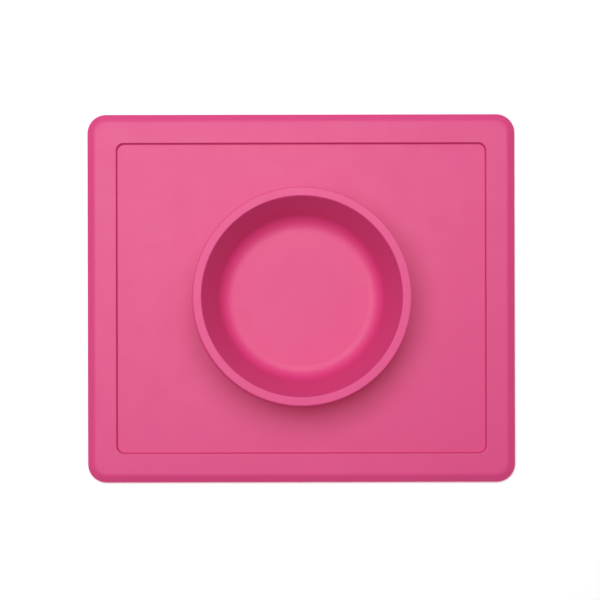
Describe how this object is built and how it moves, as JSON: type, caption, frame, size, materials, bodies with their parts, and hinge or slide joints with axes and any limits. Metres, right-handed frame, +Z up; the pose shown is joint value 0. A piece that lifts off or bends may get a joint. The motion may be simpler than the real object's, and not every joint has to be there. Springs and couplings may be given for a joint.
{
  "type": "suction bowl",
  "caption": "Shallow round bowl moulded into the middle of a flat rectangular silicone placemat with a raised bevelled border; it grips a table by suction.",
  "frame": {"origin": "on the table, under the middle of the bowl and of the mat's bounding box", "axes": "+X along the mat's length, +Y across it, +Z up out of the bowl's mouth"},
  "size_m": [0.273, 0.235, 0.038],
  "materials": {
    "silicone": "compression-moulded silicone, satin from a fine-textured mould"
  },
  "bodies": {
    "root": {"mat_border": "silicone", "mat_panel": "silicone", "bowl_skirt": "silicone", "bowl_rim": "silicone", "bowl_cup": "silicone", "bowl_floor": "silicone"}
  },
  "joints": []
}
